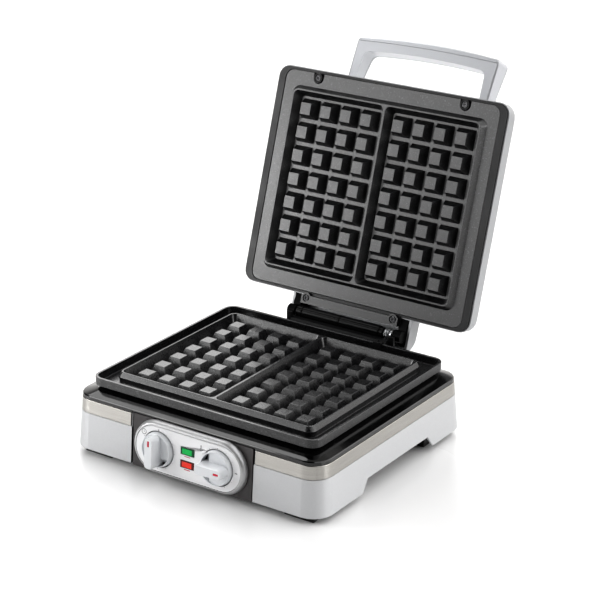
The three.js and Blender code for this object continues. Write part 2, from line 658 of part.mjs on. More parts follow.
function handleOutline(halfTop, top, bow, halfFoot, foot, radius) {
  const shape = new THREE.Shape();
  shape.moveTo(-halfFoot, foot);
  shape.lineTo(halfFoot, foot);
  shape.lineTo(halfTop, top - radius);
  shape.quadraticCurveTo(halfTop, top, halfTop - radius, top);
  shape.quadraticCurveTo(0, top + bow * 2, -halfTop + radius, top);
  shape.quadraticCurveTo(-halfTop, top, -halfTop, top - radius);
  shape.closePath();
  return shape;
}

/** Extrudes an outline from z0 to z1, and thickens it in proportion to the distance from the lid. */
function drawnOut(shape, z0, z1, bevel = 0) {
  const options = {
    depth: z1 - z0 - 2 * bevel, bevelEnabled: bevel > 0, bevelThickness: bevel, bevelSize: bevel,
    bevelOffset: -bevel, bevelSegments: 2, curveSegments: 8,
  };
  const geometry = new THREE.ExtrudeGeometry(shape, options).translate(0, 0, z0 + bevel);
  const position = geometry.attributes.position;
  for (let i = 0; i < position.count; i++) {
    const factor = HANDLE_ROOT + HANDLE_GROWTH * position.getY(i);
    position.setZ(i, position.getZ(i) * factor);
  }
  return solid(geometry);
}

function handleParts() {
  const whole = drawnOut(handleOutline(80.2, HANDLE_TOP, HANDLE_BOW, 79.4, -26, 6), 0, HANDLE_THICK, 2);
  const window = drawnOut(handleOutline(68.5, 26.2, 2.4, 71.8, -30, 9), -5, 25);
  const below = (offset, z0, z1) => drawnOut(
    handleOutline(100, HANDLE_SPLIT + offset, HANDLE_BOW, 100, -60, 0.5), z0, z1);
  const everything = handleOutline(110, 90, 1, 110, -60, 0.5);
  const frontEnd = HANDLE_THICK * BACK_SHARE;
  const ring = whole.subtract(window);
  const front = ring.intersect(drawnOut(everything, -5, frontEnd));
  const ends = box(-77.9, 77.9, 0, 60, -5, 40);
  const strip = front.subtract(below(0.35, -8, 25)).intersect(ends);
  const rest = below(0, -8, 25).add(box(-100, -78.2, 0, 60, -10, 40)).add(box(78.2, 100, 0, 60, -10, 40));
  const back = ring.intersect(drawnOut(everything, frontEnd + 0.3, 25));
  return { loop: front.intersect(rest), strip, back };
}

/** Release clip hooked over the rear wall of the lower plate's tray. */
function plateClip() {
  const [x0, x1] = [46, 54];
  return box(x0, x1, 101.6, 108.6, 72.6, 74.5)
    .add(box(x0, x1, 106.9, 108.6, 70.3, 72.7))
    .add(box(x0, x1, 101.6, 103.6, 69.6, 72.7))
    .subtract(post(50, 105.2, 72, 76, 1.2, 12));
}

// ---- Assembly ----------------------------------------------------------------

const machine = new THREE.Group();

piece(machine, 'base_housing', housing(), SILVER);
piece(machine, 'steel_trim_band', steelTrim(), STEEL);
piece(machine, 'deck_bezel', deck(), BLACK_GLOSS);
piece(machine, 'bottom_cover', bottomCover(), BLACK_MATT);
FEET.forEach(([side, y], i) => {
  const [x0, x1] = side < 0 ? [-FOOT_X[1], -FOOT_X[0]] : FOOT_X;
  piece(machine, `rubber_foot_${i + 1}`, box(x0 + 0.4, x1 - 0.4, y + 0.4, y + FOOT_LENGTH - 0.4, 0, 3.3), RUBBER);
});
BOSSES.forEach(([side, y], i) => {
  piece(machine, `bottom_screw_${i + 1}`, bottomScrew(side, y), ZINC);
});
piece(machine, 'cord_gland', cordGland(), BLACK_MATT);
piece(machine, 'terminal_block', box(-98, -66, 78, 92, 22, 36), BEIGE);
piece(machine, 'lower_plate', lowerPlate(), NON_STICK);
piece(machine, 'lower_heating_element', heater(GRID_Z - PLATE_BACK - 5, 40), ZINC);
piece(machine, 'lower_heat_reflector', lowerReflector(), STEEL);
piece(machine, 'thermostat_sensor', rod(30, 66, 0, GRID_Z - PLATE_BACK - 3, 2.2, 12), ZINC);
piece(machine, 'hinge_base', hingeBase(), BLACK_MATT);
piece(machine, 'hinge_barrel_end', barrel(-BARREL_X, -47.7), BLACK_MATT);
piece(machine, 'hinge_barrel_left', barrel(-47.3, -4.7), BLACK_MATT);
piece(machine, 'hinge_barrel_right', barrel(-4.3, 39.8), BLACK_MATT);
piece(machine, 'hinge_barrel_ring', barrel(40.2, 44.4, 5.2), BLACK_MATT);
piece(machine, 'hinge_washer', barrel(52.2, 54.2, 5), ZINC);
piece(machine, 'plate_clip', plateClip(), BLACK_MATT);
piece(machine, 'hinge_spring', tube(new SpringPath(), 0.8, 36, 3), ZINC);
piece(machine, 'hinge_pin', rod(-PIN_END, PIN_END, HINGE_Y, HINGE_Z, PIN_RADIUS, 16), ZINC);

const panel = new THREE.Group();
panel.position.set(0, -(BODY_Y + FLARE * (TRIM_TOP - CONTROL_Z)), CONTROL_Z);
panel.rotation.x = Math.PI / 2 - PANEL_TILT;
machine.add(panel);
piece(panel, 'front_panel', frontPanel(), ANTHRACITE);
piece(panel, 'control_bezel', controlBezel(), CHROME);
piece(panel, 'control_fascia', controlFascia(), FASCIA_WHITE);
piece(panel, 'green_lens', lens(1), GREEN);
piece(panel, 'red_lens', lens(-1), RED);
piece(panel, 'green_lamp', lamp(1), AMBER_GLASS);
piece(panel, 'red_lamp', lamp(-1), AMBER_GLASS);
for (const [name, x] of Object.entries(KNOB_AXES)) {
  const seat = new THREE.Group();
  seat.position.x = x;
  panel.add(seat);
  piece(seat, `${name}_unit`, switchUnit(name === 'timer'), BEIGE);
  piece(seat, `${name}_shaft`, shaft(), ZINC);
  const turn = name === 'timer' ? 0 : THERMOSTAT_TURN;
  piece(seat, `${name}_knob`, knob(turn), SILVER);
  piece(seat, `${name}_mark`, knobMark(turn), RED);
}

// The pivot turns about the hinge axis; the frame inside it holds the lid as it lies when shut.
const pivot = new THREE.Group();
pivot.position.set(0, HINGE_Y, HINGE_Z);
pivot.rotation.x = THREE.MathUtils.degToRad(-LID_OPEN);
machine.add(pivot);
const lid = new THREE.Group();
lid.position.set(0, -HINGE_Y, -HINGE_Z);
pivot.add(lid);
piece(lid, 'lid_cover', lidCover(), SILVER);
piece(lid, 'lid_panel', pad([[COVER_TOP - 0.7, 71.6, 61.6, 9.6], [COVER_TOP + 0.4, 71.6, 61.6, 9.6]]), STEEL);
piece(lid, 'lid_rim', lidRim(), BLACK_MATT);
piece(lid, 'upper_plate', upperPlate(), NON_STICK);
piece(lid, 'upper_heating_element', heater(LID_Z + PLATE_BACK + 5, LID_Z + PLATE_BACK + 18), ZINC);
piece(lid, 'upper_heat_reflector', upperReflector(), STEEL);
piece(lid, 'hinge_strip', hingeStrip(), NON_STICK);
for (const [name, side] of [['left', -1], ['right', 1]]) {
  piece(lid, `hinge_arm_${name}`, hingeArm(side), BLACK_MATT);
  piece(lid, `far_screw_${name}`, capScrew([side * FAR_SCREW[0], FAR_SCREW[1]], FLANGE_Z - 1.2, 9), ZINC);
  piece(lid, `near_screw_${name}`, capScrew([side * NEAR_SCREW[0], NEAR_SCREW[1]], LID_Z + 2.1, 8), ZINC);
}

const HANDLE_PLACE = [0, -109.5, LID_Z + 54];
const toLid = new THREE.Matrix4().makeRotationX(-HANDLE_TILT)
  .multiply(new THREE.Matrix4().makeScale(-1, -1, 1));
toLid.setPosition(...HANDLE_PLACE);
const handle = handleParts();
for (const [name, body] of [['handle', handle.loop], ['handle_strip', handle.strip], ['handle_back', handle.back]]) {
  piece(lid, name, solid(skin(body).applyMatrix4(toLid)).subtract(dome(GAP)), SILVER);
}

// The origin is the middle of the footprint of the whole machine, lid open.
machine.updateMatrixWorld(true);
const bounds = new THREE.Box3().setFromObject(machine);
machine.position.y = -(bounds.min.y + bounds.max.y) / 2;

export default machine;
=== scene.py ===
"""Looks of the double waffle maker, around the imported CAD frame."""
import json
import math

import bmesh
import bpy
from mathutils import Matrix, Vector


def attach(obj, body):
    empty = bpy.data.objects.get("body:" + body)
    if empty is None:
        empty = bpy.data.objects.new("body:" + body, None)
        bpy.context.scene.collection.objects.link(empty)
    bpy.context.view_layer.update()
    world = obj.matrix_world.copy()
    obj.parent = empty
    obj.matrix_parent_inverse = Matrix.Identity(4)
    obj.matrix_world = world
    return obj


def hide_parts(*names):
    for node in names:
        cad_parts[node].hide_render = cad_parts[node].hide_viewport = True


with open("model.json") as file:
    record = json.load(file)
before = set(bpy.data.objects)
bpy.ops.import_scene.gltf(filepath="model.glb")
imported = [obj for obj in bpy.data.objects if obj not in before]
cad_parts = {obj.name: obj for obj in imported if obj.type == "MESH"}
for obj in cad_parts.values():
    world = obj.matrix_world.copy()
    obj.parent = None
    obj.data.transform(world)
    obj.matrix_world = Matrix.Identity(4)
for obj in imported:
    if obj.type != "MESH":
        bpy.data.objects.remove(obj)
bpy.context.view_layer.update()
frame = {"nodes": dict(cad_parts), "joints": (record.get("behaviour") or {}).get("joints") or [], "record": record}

NODES = frame["nodes"]
RECORD = frame["record"]
MM = 0.001
scene = bpy.context.scene
collection = scene.collection

# ---- Where the CAD puts things ---------------------------------------------------------

HINGE = next(j for j in frame["joints"] if j["name"] == "lid_hinge")
PIN_BEHIND_PLATES = 0.1247  # m, from the middle of the plates back to the hinge pin
ORIGIN_Y = HINGE["pos_m"][1] - PIN_BEHIND_PLATES  # m, middle of the plates

# Front of the housing, in mm. Its wall leans back as it rises.
WALL_LEAN = 0.0847  # mm back for each mm up
WALL_TOP = 53.6  # height at which the wall's distance is given
WALL_TOP_FRONT = 116.84  # from the middle of the plates to the wall, at that height
PANEL_HEIGHT = 30.2  # height of the middle of the control panel
PANEL_FRONT = WALL_TOP_FRONT + WALL_LEAN * (WALL_TOP - PANEL_HEIGHT)

# Control panel, in mm in the panel's own frame: x right, y up the panel, z out of it.
PANEL_FRAME = (Matrix.Translation((0, ORIGIN_Y - PANEL_FRONT * MM, PANEL_HEIGHT * MM))
               @ Matrix.Rotation(math.pi / 2 - math.atan(WALL_LEAN), 4, "X"))
KNOB_X = 32.2  # the knobs' centres, to the left and right of the middle
FASCIA_FACE = 5.6
LENS_LENGTH, LENS_HEIGHT = 14.6, 6.8
LENS_Y = 6.1  # the lenses' centres, above and below the middle


# ---- Finishes --------------------------------------------------------------------------

class Nodes:
    """A material's node tree, with short calls for the nodes used here."""

    def __init__(self, name, color, roughness, metallic=0.0, **sockets):
        self.material = bpy.data.materials.new(name)
        self.material.use_nodes = True
        self.tree = self.material.node_tree
        self.shader = self.tree.nodes["Principled BSDF"]
        self.shader.inputs["Base Color"].default_value = (*color, 1)
        self.shader.inputs["Roughness"].default_value = roughness
        self.shader.inputs["Metallic"].default_value = metallic
        for key, value in sockets.items():
            self.shader.inputs[key.replace("_", " ")].default_value = value
        self.color = color
        self.roughness = roughness
        self.coords = self.add("ShaderNodeTexCoord").outputs["Object"]

    def add(self, kind, **values):
        node = self.tree.nodes.new(kind)
        for key, value in values.items():
            setattr(node, key, value)
        return node

    def link(self, a, b):
        self.tree.links.new(a, b)

    def stretched(self, scale):
        """Object coordinates scaled by a different amount along each axis."""
        node = self.add("ShaderNodeMapping")
        node.inputs["Scale"].default_value = scale
        self.link(self.coords, node.inputs["Vector"])
        return node.outputs["Vector"]

    def noise(self, scale, detail=3.0, roughness=0.55, vector=None):
        node = self.add("ShaderNodeTexNoise")
        node.inputs["Scale"].default_value = scale
        node.inputs["Detail"].default_value = detail
        node.inputs["Roughness"].default_value = roughness
        self.link(vector or self.coords, node.inputs["Vector"])
        return node.outputs["Fac"]

    def ramp(self, fac, low, high, start=0.0, end=1.0):
        node = self.add("ShaderNodeMapRange")
        node.inputs["From Min"].default_value = low
        node.inputs["From Max"].default_value = high
        node.inputs["To Min"].default_value = start
        node.inputs["To Max"].default_value = end
        self.link(fac, node.inputs["Value"])
        return node.outputs["Result"]

    def mix(self, fac, a, b):
        node = self.add("ShaderNodeMix", data_type="RGBA")
        self.link(fac, node.inputs[0])
        for socket, value in ((node.inputs[6], a), (node.inputs[7], b)):
            if isinstance(value, tuple):
                socket.default_value = (*value, 1)
            else:
                self.link(value, socket)
        return node.outputs[2]

    def tint(self, fac, amount):
        """Base colour varied by a factor, darker at 0 and lighter at 1."""
        dark = tuple(c * (1 - amount) for c in self.color)
        light = tuple(min(1.0, c * (1 + amount)) for c in self.color)
        return self.mix(fac, dark, light)

    def paint(self, color):
        self.link(color, self.shader.inputs["Base Color"])

    def gloss(self, fac, spread):
        """Roughness varied by a noise factor, up to the spread either way."""
        rough = self.ramp(fac, 0.35, 0.65, self.roughness - spread, self.roughness + spread)
        self.link(rough, self.shader.inputs["Roughness"])

    def bump(self, height, distance, strength):
        node = self.add("ShaderNodeBump")
        node.inputs["Strength"].default_value = strength
        node.inputs["Distance"].default_value = distance
        self.link(height, node.inputs["Height"])
        self.link(node.outputs["Normal"], self.shader.inputs["Normal"])


def silver(name, color, roughness=0.42, metallic=0.35, flake=0.05):
    """Satin metallic lacquer on plastic: fine flake and a faint orange peel."""
    m = Nodes(name, color, roughness, metallic, Coat_Weight=0.12, Coat_Roughness=0.25)
    m.paint(m.tint(m.ramp(m.noise(2600, 1), 0.35, 0.65), flake))
    m.gloss(m.noise(180, 2), 0.02)
    m.bump(m.noise(150, 2), 0.000004, 0.5)
    return m.material


def brushed(name, color, roughness, grain, contrast=0.16, anisotropy=0.0):
    """Brushed metal, with hairlines along the axes where the grain's scale is small."""
    m = Nodes(name, color, roughness, 1.0, Anisotropic=anisotropy)
    lines = m.noise(1.0, 4, 0.7, m.stretched(grain))
    m.paint(m.tint(m.ramp(lines, 0.3, 0.7), contrast))
    m.gloss(lines, 0.05)
    m.bump(lines, 0.00002, 0.5)
    return m.material


def moulded(name, color, roughness, grain, depth, **sockets):
    """Moulded plastic or rubber with a fine grain and handling marks."""
    m = Nodes(name, color, roughness, **sockets)
    m.paint(m.tint(m.ramp(m.noise(140, 4), 0.3, 0.7), 0.18))
    m.gloss(m.noise(35, 5), 0.06)
    m.bump(m.noise(grain, 3), depth, 0.6)
    return m.material


def non_stick(name, color, roughness, fleck=0.045, specular=0.9):
    """Sprayed non-stick coating: near black, with fine light flecks and a slight orange peel."""
    m = Nodes(name, color, roughness, Specular_IOR_Level=specular)
    flecks = m.ramp(m.noise(800, 3, 0.75), 0.58, 0.68)
    base = m.tint(m.ramp(m.noise(900, 3), 0.35, 0.65), 0.15)
    m.paint(m.mix(flecks, base, (fleck, fleck, fleck * 1.08)))
    m.gloss(m.noise(700, 3), 0.06)
    m.bump(m.noise(1700, 3), 0.00004, 0.7)
    return m.material


def plated(name, color, roughness):
    """Plated or bare steel with faint tarnish and scratches."""
    m = Nodes(name, color, roughness, 1.0)
    m.paint(m.tint(m.ramp(m.noise(220, 5), 0.3, 0.7), 0.2))
    m.gloss(m.noise(500, 4), 0.1)
    m.bump(m.noise(1800, 3, vector=m.stretched((1, 6, 1))), 0.00003, 0.5)
    return m.material


def lens(name, color, glow):
    """Coloured plastic over a lamp, with a glow of its own."""
    m = Nodes(name, color, 0.2, Specular_IOR_Level=0.3, Emission_Strength=glow)
    m.shader.inputs["Emission Color"].default_value = (*color, 1)
    m.paint(m.tint(m.ramp(m.noise(300, 2), 0.3, 0.7), 0.12))
    m.bump(m.noise(700, 2), 0.00003, 0.4)
    return m.material


SILVER = silver("silver_lacquer", (0.57, 0.575, 0.585))
SILVER_LID = silver("silver_lacquer_lid", (0.40, 0.405, 0.415))
SILVER_HANDLE = silver("silver_lacquer_handle", (0.57, 0.58, 0.605),
                       roughness=0.33, metallic=0.5, flake=0.006)
SILVER_BEZEL = silver("silver_lacquer_bezel", (0.48, 0.48, 0.485),
                      roughness=0.36, metallic=0.6, flake=0.006)
# Painted shade: near-black eased edges stand for the shaded gaps between the handle's pieces.
SEAM_PAINTED_SHADE = moulded("handle_seam_painted_shade", (0.012, 0.012, 0.013), 0.5, grain=1300, depth=0.00003)
TRIM = brushed("warm_brushed_steel", (0.40, 0.387, 0.365), 0.2, grain=(30, 30, 3400),
               anisotropy=0.6)
PANEL_STEEL = brushed("lid_panel_steel", (0.62, 0.62, 0.62), 0.32, grain=(2600, 40, 40))
BLACK_GLOSS = moulded("black_gloss_plastic", (0.0012, 0.0012, 0.0013), 0.13,
                      grain=260, depth=0.00001, Coat_Weight=0.3)
BLACK_SATIN = moulded("black_satin_plastic", (0.005, 0.005, 0.0055), 0.4,
                      grain=1300, depth=0.00008, Specular_IOR_Level=0.45)
ARMS = moulded("black_hinge_arm", (0.003, 0.003, 0.0034), 0.4,
               grain=1300, depth=0.00008, Specular_IOR_Level=0.06)
EARS = moulded("hinge_bracket_grey", (0.006, 0.006, 0.0065), 0.4,
               grain=1300, depth=0.00008, Specular_IOR_Level=0.25)
BARREL = moulded("black_barrel", (0.002, 0.002, 0.0022), 0.22,
                 grain=900, depth=0.00002, Specular_IOR_Level=0.15)
ANTHRACITE = moulded("anthracite_panel", (0.052, 0.047, 0.048), 0.4, grain=1500, depth=0.00005)
PLATE = non_stick("non_stick_coating", (0.0025, 0.0025, 0.003), 0.31, fleck=0.085, specular=0.8)
PLATE_UPPER = non_stick("non_stick_coating_upper", (0.002, 0.0021, 0.0026), 0.34,
                        fleck=0.10, specular=1.0)
# Painted highlight: a lighter coating on the eased edges stands for the glints along the plates' and hinge strip's
# edges.
PLATE_EDGE_HIGHLIGHT = non_stick("non_stick_edge_painted_highlight", (0.03, 0.031, 0.034), 0.28,
                       fleck=0.09, specular=1.0)
STRIP = non_stick("hinge_strip_coating", (0.003, 0.0032, 0.0036), 0.34)
FASCIA = silver("fascia_white", (0.86, 0.86, 0.87), roughness=0.36, metallic=0.1, flake=0.02)
KNOB = silver("knob_silver", (0.73, 0.745, 0.765), roughness=0.32, metallic=0.15, flake=0.004)
RUBBER = moulded("foot_rubber", (0.012, 0.012, 0.012), 0.75, grain=1100, depth=0.00012)
ZINC = plated("plated_steel", (0.52, 0.53, 0.54), 0.3)
# Screw heads: the steel is painted dark as the shade of the hex socket, and the eased edges lighter as a painted
# highlight ring.
SCREW_PAINTED_SHADE = plated("screw_steel_painted_shade", (0.05, 0.05, 0.052), 0.45)
SCREW_RING_HIGHLIGHT = plated("screw_edge_painted_highlight", (0.34, 0.34, 0.35), 0.4)
# Painted shade: a black finish for faces that stand in narrow gaps, in place of the gap's shadow.
GAP_PAINTED_SHADE = moulded("gap_painted_shade", (0.006, 0.006, 0.006), 0.6, grain=900, depth=0.00003)
BEIGE = moulded("insulating_plastic", (0.52, 0.47, 0.38), 0.55, grain=900, depth=0.00006)
INNER_STEEL = brushed("reflector_sheet", (0.55, 0.55, 0.54), 0.4, grain=(30, 900, 30),
                      contrast=0.1)
LAMP = moulded("lamp_glass", (0.55, 0.45, 0.3), 0.12, grain=200, depth=0.00002)
INK = moulded("printed_grey", (0.10, 0.10, 0.11), 0.5, grain=1200, depth=0.00001)
INK_RED = moulded("printed_red", (0.55, 0.03, 0.06), 0.5, grain=1200, depth=0.00001)
MARK = moulded("mark_red", (0.68, 0.012, 0.05), 0.35, grain=700, depth=0.00002)
GREEN_DARK = lens("green_lens_frame", (0.0, 0.06, 0.022), glow=0.0)
GREEN_LIT = lens("green_lens_window", (0.0, 0.40, 0.075), glow=0.2)
RED_DARK = lens("red_lens_frame", (0.09, 0.008, 0.007), glow=0.0)
RED_LIT = lens("red_lens_window", (0.72, 0.035, 0.018), glow=0.2)


# ---- Piece helpers ---------------------------------------------------------------------

WELD_DISTANCE = 2e-6  # m, within which two of the CAD's points are one
FLAT_ANGLE = 0.6  # degrees, under which two faces are joined into one flat area


def finish_mesh(obj, material, body):
    """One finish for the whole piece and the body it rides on."""
    obj.data.materials.clear()
    obj.data.materials.append(material)
    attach(obj, body)


def body_of(node):
    for body, members in RECORD["behaviour"]["bodies"].items():
        if node in members:
            return body
    return None


def finished_copy(node, angle, join_flats):
    """A copy of the CAD piece that is shaded smooth where it bends by less than the angle."""
    mesh = NODES[node].data.copy()
    obj = bpy.data.objects.new(node + "_finished", mesh)
    collection.objects.link(obj)
    work = bmesh.new()
    work.from_mesh(mesh)
    bmesh.ops.remove_doubles(work, verts=work.verts, dist=WELD_DISTANCE)
    if join_flats:
        bmesh.ops.dissolve_limit(work, angle_limit=math.radians(FLAT_ANGLE),
                                 verts=work.verts, edges=work.edges)
    work.to_mesh(mesh)
    work.free()
    mesh.shade_smooth()
    mesh.set_sharp_from_angle(angle=math.radians(angle))
    return obj


def weight_normals(obj):
    normals = obj.modifiers.new("face_normals", "WEIGHTED_NORMAL")
    normals.keep_sharp = True


def refine(node, material, width, segments=2, angle=28.0, edge=None, second=None, where=None):
    """The CAD piece with its edges eased over a width in mm.

    The eased edges can have a finish of their own, and so can the faces that a test picks out.
    """
    obj = finished_copy(node, angle, join_flats=True)
    mesh = obj.data
    bevel = obj.modifiers.new("eased_edges", "BEVEL")
    bevel.width = width * MM
    bevel.segments = segments
    bevel.limit_method = "ANGLE"
    bevel.angle_limit = math.radians(angle)
    bevel.harden_normals = True
    bevel.use_clamp_overlap = True
    weight_normals(obj)
    finish_mesh(obj, material, body_of(node))
    if edge:
        mesh.materials.append(edge)
        bevel.material = 1
    if second:
        mesh.materials.append(second)
        for face in mesh.polygons:
            if where(face):
                face.material_index = len(mesh.materials) - 1
    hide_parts(node)


def smooth(node, material, angle):
    """The CAD piece with its shallow angles shaded round."""
    obj = finished_copy(node, angle, join_flats=False)
    weight_normals(obj)
    finish_mesh(obj, material, body_of(node))
    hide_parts(node)


def carry(node, material):
    """The CAD piece as it is, with its finish."""
    mesh = NODES[node].data
    mesh.materials.clear()
    mesh.materials.append(material)


def panel_piece(name, work, material):
    """A piece on the control panel, from a bmesh in the panel's frame."""
    bmesh.ops.recalc_face_normals(work, faces=work.faces)
    mesh = bpy.data.meshes.new(name)
    work.to_mesh(mesh)
    work.free()
    obj = bpy.data.objects.new(name, mesh)
    obj.matrix_world = PANEL_FRAME
    collection.objects.link(obj)
    finish_mesh(obj, material, "base")


def outline_points(work, outline, z):
    return [work.verts.new((x * MM, y * MM, z * MM)) for x, y in outline]


def wall_between(work, a, b):
    """A strip of faces between two loops with the same number of points."""
    for i in range(len(a)):
        j = (i + 1) % len(a)
        work.faces.new((a[i], a[j], b[j], b[i]))


def circle(x, y, radius, steps=24):
    angles = [2 * math.pi * i / steps for i in range(steps)]
    return [(x + radius * math.cos(a), y + radius * math.sin(a)) for a in angles]


def bar(x, y, length, width, turn):
    """Small rectangle centred at x, y, its length along the turned x axis."""
    c, s = math.cos(turn), math.sin(turn)
    corners = ((-length / 2, -width / 2), (length / 2, -width / 2),
               (length / 2, width / 2), (-length / 2, width / 2))
    return [(x + a * c - b * s, y + a * s + b * c) for a, b in corners]


def raised(outlines, name, material, slot, z0, z1):
    """Thin raised shapes from closed outlines in mm, standing on the panel from z0 to z1."""
    work = bmesh.new()
    for outline in outlines:
        low, high = outline_points(work, outline, z0), outline_points(work, outline, z1)
        work.faces.new(low)
        work.faces.new(high)
        wall_between(work, low, high)
    panel_piece(name, work, material)


def raised_ring(center, outer, inner, name, material, slot, z0, z1):
    """A thin raised ring of two radii in mm, standing on the panel from z0 to z1."""
    work = bmesh.new()
    loops = [outline_points(work, circle(*center, radius), z)
             for radius, z in ((outer, z0), (outer, z1), (inner, z1), (inner, z0))]
    for k in range(4):
        wall_between(work, loops[k], loops[(k + 1) % 4])
    panel_piece(name, work, material)


# ---- Base ------------------------------------------------------------------------------

OPENING_SIDE = (0.0655, 0.0685)  # m, between which a side of the housing's front opening lies


def opening_edge(face):
    """Cut edges beside the front opening, painted black as the shade inside the gap."""
    return abs(face.normal.x) > 0.95 and OPENING_SIDE[0] < abs(face.center.x) < OPENING_SIDE[1]


# The cut edges beside the front opening get painted shade, black for the dark of the gap.
refine("base_housing", SILVER, 0.6, segments=3, second=GAP_PAINTED_SHADE, where=opening_edge)
refine("steel_trim_band", TRIM, 0.3, second=GAP_PAINTED_SHADE, where=opening_edge)
refine("deck_bezel", BLACK_GLOSS, 1.3, segments=4, angle=18)
refine("bottom_cover", BLACK_SATIN, 0.4, segments=1)
for index in range(1, 5):
    refine(f"rubber_foot_{index}", RUBBER, 0.8, segments=3)
    carry(f"bottom_screw_{index}", ZINC)
refine("cord_gland", BLACK_SATIN, 0.4)
# The plate's eased edges carry the painted highlight.
refine("lower_plate", PLATE, 0.4, edge=PLATE_EDGE_HIGHLIGHT)
refine("plate_clip", BLACK_SATIN, 0.4)
refine("hinge_base", EARS, 0.5)
for node in ("hinge_barrel_end", "hinge_barrel_left", "hinge_barrel_right", "hinge_barrel_ring"):
    refine(node, BARREL, 0.5)
carry("hinge_spring", ZINC)
refine("hinge_washer", ZINC, 0.3)
refine("hinge_pin", ZINC, 0.4)
for inner_nodes, material in (
    (("lower_heating_element", "upper_heating_element", "thermostat_sensor"), ZINC),
    (("lower_heat_reflector", "upper_heat_reflector"), INNER_STEEL),
    (("terminal_block", "timer_unit", "thermostat_unit"), BEIGE),
    (("timer_shaft", "thermostat_shaft"), ZINC),
    (("green_lamp", "red_lamp"), LAMP),
):
    for node in inner_nodes:
        carry(node, material)

# ---- Control panel ---------------------------------------------------------------------

refine("front_panel", ANTHRACITE, 0.3)
smooth("control_bezel", SILVER_BEZEL, angle=45)
refine("control_fascia", FASCIA, 0.3)
for name in ("timer", "thermostat"):
    refine(f"{name}_knob", KNOB, 0.35)
    refine(f"{name}_mark", MARK, 0.15)

# Each lens is a dark frame with a lit window standing a little out of it.
WINDOW_HALF_X = LENS_LENGTH / 2 - 2.1
WINDOW_HALF_Y = LENS_HEIGHT / 2 - 1.0
WINDOW_Z = (FASCIA_FACE + 0.3, FASCIA_FACE + 0.75)
for name, side, dark, lit in (("green", 1, GREEN_DARK, GREEN_LIT), ("red", -1, RED_DARK, RED_LIT)):
    y = side * LENS_Y
    refine(f"{name}_lens", dark, 0.35)
    window = [(sx * WINDOW_HALF_X, y + sy * WINDOW_HALF_Y)
              for sx, sy in ((-1, -1), (1, -1), (1, 1), (-1, 1))]
    raised([window], f"{name}_lens_window", lit, f"{name}_lens", *WINDOW_Z)

# Print on the fascia: a dot and ticks around the dials, two icons, a rule under each lens.
PRINT_Z = (FASCIA_FACE - 0.05, FASCIA_FACE + 0.05)
TICK = (17.9, 0.7, 0.35)  # distance from the knob's centre, length, width
LONG_TICK = (20.4, 2.4, 0.8)
TICK_STEP = 30  # degrees between ticks, counted clockwise from the top
TIMER_TICKS = range(1, 11)
THERMOSTAT_TICKS = range(-4, 6)
THERMOSTAT_LONG_TICK = 3  # the one that points right


def tick(center_x, step, kind):
    radius, length, width = kind
    a = math.radians(90 - TICK_STEP * step)
    return bar(center_x + radius * math.cos(a), radius * math.sin(a), length, width, a)


TIMER_DOT = circle(-KNOB_X, TICK[0] + 0.2, 0.6, 12)
marks = [TIMER_DOT]
marks += [tick(-KNOB_X, step, TICK) for step in TIMER_TICKS]
marks += [tick(KNOB_X, step, LONG_TICK if step == THERMOSTAT_LONG_TICK else TICK)
          for step in THERMOSTAT_TICKS]
raised(marks, "fascia_scales", INK, "fascia_white", *PRINT_Z)

CLOCK_X, CLOCK_Y = -48.4, 13.0
raised_ring((CLOCK_X, CLOCK_Y), 2.6, 2.15, "icon_clock_ring", INK, "fascia_white", *PRINT_Z)
raised([bar(CLOCK_X, CLOCK_Y + 0.7, 1.5, 0.3, math.pi / 2),
        bar(CLOCK_X + 0.5, CLOCK_Y - 0.1, 1.2, 0.3, math.radians(-25))],
       "icon_clock_hands", INK, "fascia_white", *PRINT_Z)
BULB_X, BULB_Y = 14.4, 12.0
raised_ring((BULB_X, BULB_Y), 1.3, 0.8, "icon_thermometer_bulb", INK, "fascia_white", *PRINT_Z)
raised([bar(BULB_X, BULB_Y + 2.7, 2.8, 0.8, math.pi / 2)],
       "icon_thermometer_stem", INK, "fascia_white", *PRINT_Z)
RULE_DROP = 4.9  # from a lens's centre down to the rule under it
raised([bar(0, y - RULE_DROP, 6.4, 0.7, 0) for y in (LENS_Y, -LENS_Y)],
       "lamp_rules", INK_RED, "fascia_white", *PRINT_Z)

# ---- Lid -------------------------------------------------------------------------------

refine("lid_cover", SILVER_LID, 0.5)
refine("lid_panel", PANEL_STEEL, 0.3)
refine("lid_rim", BLACK_SATIN, 0.5)
# The eased edges of the upper plate and hinge strip carry the painted highlight.
refine("upper_plate", PLATE_UPPER, 0.4, edge=PLATE_EDGE_HIGHLIGHT)
refine("hinge_strip", STRIP, 0.4, edge=PLATE_EDGE_HIGHLIGHT)
refine("handle", SILVER_HANDLE, 1.5, segments=4)
# Their eased edges carry the painted shade as dark lines between the handle's pieces.
refine("handle_strip", SILVER_HANDLE, 0.9, edge=SEAM_PAINTED_SHADE)
refine("handle_back", SILVER_HANDLE, 0.9, edge=SEAM_PAINTED_SHADE)
# The lid's screws carry painted shade on the head and a painted highlight on its eased edges.
for side in ("left", "right"):
    refine(f"hinge_arm_{side}", ARMS, 0.5)
    refine(f"far_screw_{side}", SCREW_PAINTED_SHADE, 0.45, edge=SCREW_RING_HIGHLIGHT)
    refine(f"near_screw_{side}", SCREW_PAINTED_SHADE, 0.45, edge=SCREW_RING_HIGHLIGHT)

# ---- Camera and floor ------------------------------------------------------------------

CAMERA_AZIMUTH = math.radians(34.51)  # from straight in front, towards the right
CAMERA_ELEVATION = math.radians(20.83)
CAMERA_AT = (0.9890, -1.38306, 0.8110)  # m, from the point on the table under the plates

